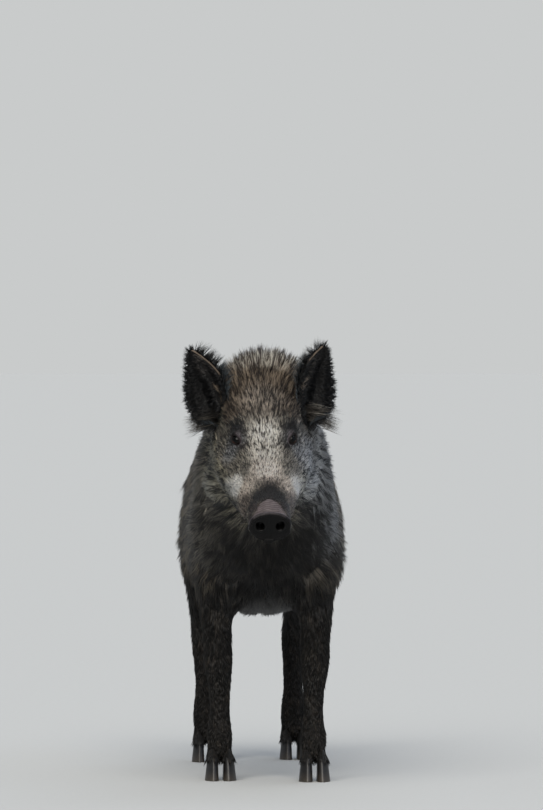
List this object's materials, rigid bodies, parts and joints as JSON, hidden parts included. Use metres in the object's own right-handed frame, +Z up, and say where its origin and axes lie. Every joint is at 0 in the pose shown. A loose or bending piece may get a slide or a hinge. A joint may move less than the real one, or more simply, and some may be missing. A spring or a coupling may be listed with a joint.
{
  "type": "wild boar",
  "caption": "Life-size standing wild boar sow in grizzled winter coat, head lowered a little and facing ahead, as a still museum-type model.",
  "frame": {"origin": "on the floor, under the middle of the animal's box", "axes": "+Z up; the boar faces -Y and its trunk runs along Y; +X is the animal's left"},
  "size_m": [0.3046, 1.192, 0.7612],
  "materials": {
    "coat": "coarse grizzled winter bristle over dense underwool",
    "short_coat": "short black bristle of legs, ears and tail",
    "nose_leather": "bare, moist, finely wrinkled snout skin",
    "eye": "wet dark brown eye",
    "hoof_horn": "worn dark horn"
  },
  "bodies": {
    "root": {"dewclaw_fore_left_inner": "hoof_horn", "dewclaw_fore_left_outer": "hoof_horn", "dewclaw_fore_right_inner": "hoof_horn", "dewclaw_fore_right_outer": "hoof_horn", "dewclaw_hind_left_inner": "hoof_horn", "dewclaw_hind_left_outer": "hoof_horn", "dewclaw_hind_right_inner": "hoof_horn", "dewclaw_hind_right_outer": "hoof_horn", "ear_left": "short_coat", "ear_right": "short_coat", "eye_left": "eye", "eye_right": "eye", "foreleg_left": "short_coat", "foreleg_right": "short_coat", "head": "coat", "hindleg_left": "short_coat", "hindleg_right": "short_coat", "hoof_fore_left_inner": "hoof_horn", "hoof_fore_left_outer": "hoof_horn", "hoof_fore_right_inner": "hoof_horn", "hoof_fore_right_outer": "hoof_horn", "hoof_hind_left_inner": "hoof_horn", "hoof_hind_left_outer": "hoof_horn", "hoof_hind_right_inner": "hoof_horn", "hoof_hind_right_outer": "hoof_horn", "lower_jaw": "coat", "neck": "coat", "nose_disc": "nose_leather", "tail": "short_coat", "trunk": "coat"}
  },
  "joints": []
}
